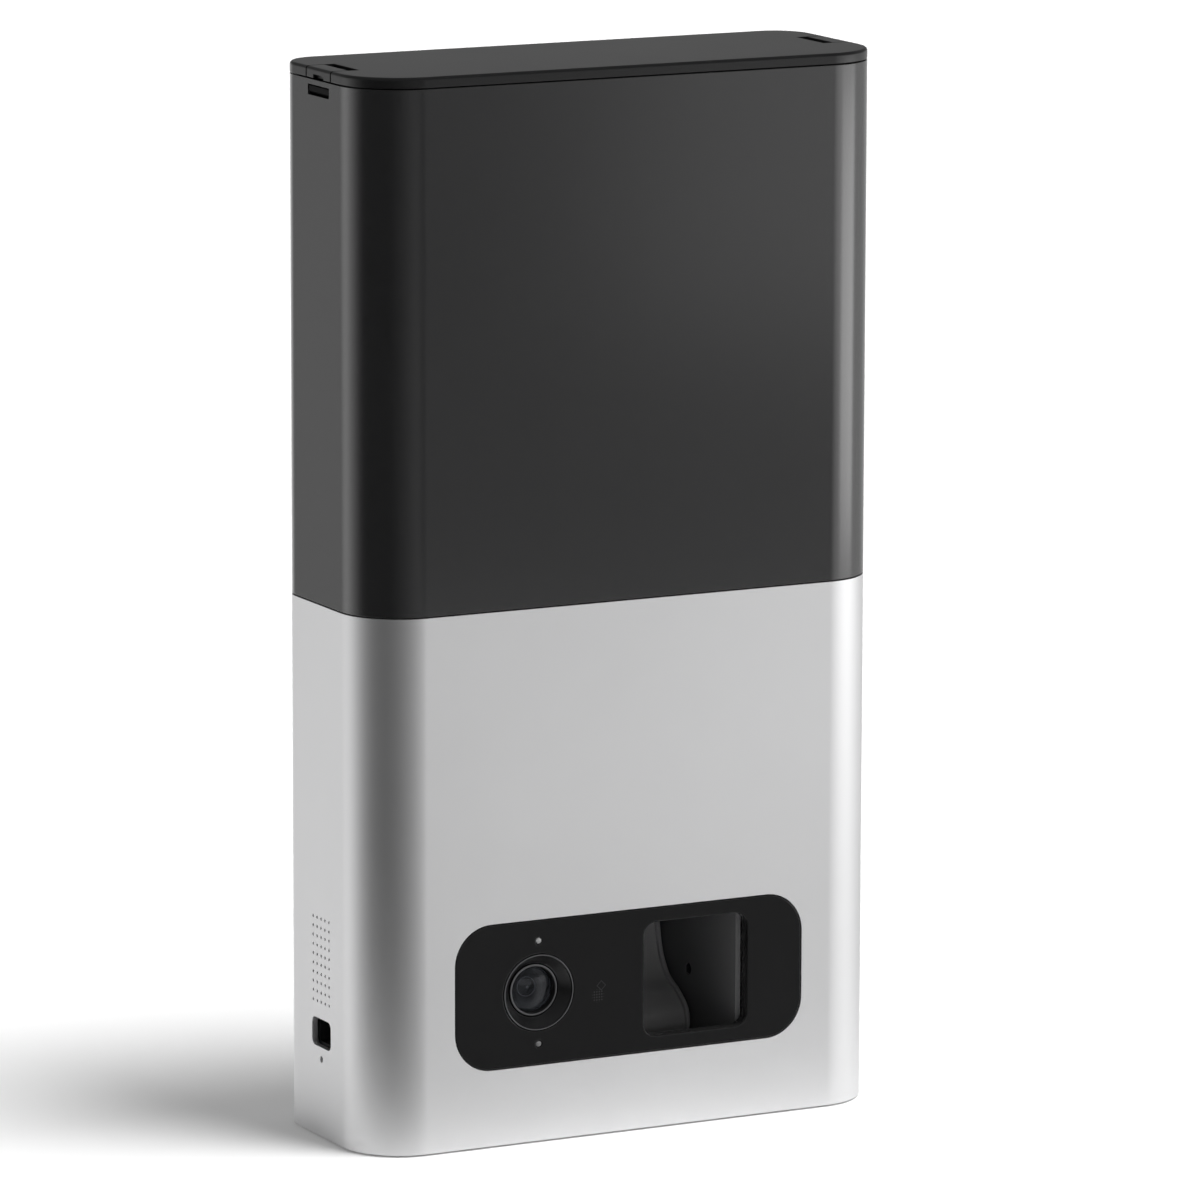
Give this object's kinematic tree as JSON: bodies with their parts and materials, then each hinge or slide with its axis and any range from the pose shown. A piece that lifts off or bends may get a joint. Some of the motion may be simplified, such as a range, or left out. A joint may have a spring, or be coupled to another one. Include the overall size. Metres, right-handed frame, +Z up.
{
  "type": "treat tossing pet camera",
  "caption": "Tall flat two-tone pet camera box with a treat bin under a latched lift-off lid, a dosing wheel and a sprung paddle that throws treats out of a front window.",
  "frame": {"origin": "centre of the outline on the ground, under the foot pad", "axes": "+Z up the body, +X to the right seen from the front, front panel towards -Y"},
  "size_m": [0.145, 0.052, 0.27],
  "materials": {
    "silver_anodised": "bead-blasted, clear anodised aluminium extrusion",
    "black_anodised": "fine-grained black anodised aluminium",
    "black_gloss": "polished black plastic",
    "black_plastic": "moulded matt black plastic",
    "grey_plastic": "moulded satin dark grey plastic",
    "rubber": "matt black rubber",
    "silicone": "grey silicone",
    "white_nylon": "moulded off-white nylon",
    "steel": "plain zinc plated steel",
    "circuit_board": "green solder mask on glass fibre board",
    "lens_glass": "coated dark glass",
    "light_pipe": "clear moulded light guide",
    "flex_film": "amber flexible film with copper tracks"
  },
  "bodies": {
    "housing": {"lower_sleeve": "silver_anodised", "upper_sleeve": "black_anodised", "base_cover": "black_plastic", "foot_pad": "rubber", "base_screw_1": "steel", "base_screw_2": "steel", "base_screw_3": "steel", "base_screw_4": "steel", "chassis": "black_plastic", "mid_frame": "black_plastic", "front_panel": "black_gloss", "status_light": "light_pipe", "light_sensor": "light_pipe", "camera_ring": "black_plastic", "lens_barrel": "black_plastic", "lens_glass": "lens_glass", "lens_mount": "black_plastic", "camera_board": "circuit_board", "camera_screw_1": "steel", "camera_screw_2": "steel", "night_light_board": "circuit_board", "night_light": "lens_glass", "launch_chute": "black_plastic", "idler_pin": "steel", "launch_motor": "steel", "launch_bracket": "steel", "paddle_bumper": "rubber", "paddle_spring": "steel", "dosing_housing": "black_plastic", "dosing_cover": "black_plastic", "dosing_motor": "steel", "dosing_bracket": "steel", "treat_bin": "grey_plastic", "main_board": "circuit_board", "main_board_screw_1": "steel", "main_board_screw_2": "steel", "radio_shield": "steel", "side_board": "circuit_board", "power_socket": "black_plastic", "reset_switch": "black_plastic", "speaker_driver": "black_plastic", "speaker_box": "black_plastic", "camera_ribbon": "flex_film"},
    "lid": {"lid_cover": "black_anodised", "lid_liner": "grey_plastic", "lid_seal": "silicone", "latch_spring_left": "steel", "latch_spring_right": "steel"},
    "latch_left": {"latch_left": "black_anodised"},
    "latch_right": {"latch_right": "black_anodised"},
    "paddle": {"launch_paddle": "grey_plastic", "paddle_shaft": "steel", "paddle_gear": "white_nylon"},
    "launch_idler": {"launch_idler": "white_nylon"},
    "launch_pinion": {"launch_pinion": "steel"},
    "dosing_rotor": {"dosing_wheel": "silicone", "dosing_shaft": "steel", "dosing_gear": "white_nylon"},
    "dosing_pinion": {"dosing_pinion": "steel"},
    "reset_button": {"reset_button": "grey_plastic"}
  },
  "joints": [
    {"name": "lid_lift", "type": "slide", "parent": "housing", "child": "lid", "axis": [0, 0, 1], "range_m": [0, 0.06]},
    {"name": "latch_left_press", "type": "slide", "parent": "lid", "child": "latch_left", "axis": [1, 0, 0], "range_m": [0, 0.0023], "stiffness_N_per_m": 400, "springref_m": -0.002, "deforming": ["latch_spring_left"]},
    {"name": "latch_right_press", "type": "slide", "parent": "lid", "child": "latch_right", "axis": [-1, 0, 0], "range_m": [0, 0.0023], "stiffness_N_per_m": 400, "springref_m": -0.002, "deforming": ["latch_spring_right"]},
    {"name": "paddle_swing", "type": "hinge", "parent": "housing", "child": "paddle", "pos_m": [0.0187, 0.009, 0.0155], "axis": [1, 0, 0], "range_deg": [0, 60], "stiffness_Nm_per_rad": 0.02, "springref_deg": -17.19},
    {"name": "launch_idler_spin", "type": "hinge", "parent": "housing", "child": "launch_idler", "pos_m": [0.0392, 0.00344, 0.03262], "axis": [1, 0, 0], "range_deg": [-120, 0]},
    {"name": "launch_pinion_spin", "type": "hinge", "parent": "housing", "child": "launch_pinion", "pos_m": [0.0392, 0.00204, 0.04856], "axis": [1, 0, 0], "range_deg": [0, 360]},
    {"name": "dosing_wheel_spin", "type": "hinge", "parent": "housing", "child": "dosing_rotor", "pos_m": [0.0187, 0, 0.104], "axis": [1, 0, 0], "continuous": true},
    {"name": "dosing_pinion_spin", "type": "hinge", "parent": "housing", "child": "dosing_pinion", "pos_m": [0.0346, 0, 0.084], "axis": [1, 0, 0], "continuous": true},
    {"name": "reset_button_press", "type": "slide", "parent": "housing", "child": "reset_button", "axis": [1, 0, 0], "range_m": [0, 0.0004], "stiffness_N_per_m": 200, "springref_m": -0.001}
  ],
  "couplings": [
    {"joint": "launch_idler_spin", "follows": "paddle_swing", "ratio": -2},
    {"joint": "launch_pinion_spin", "follows": "paddle_swing", "ratio": 6},
    {"joint": "dosing_pinion_spin", "follows": "dosing_wheel_spin", "ratio": -3}
  ]
}
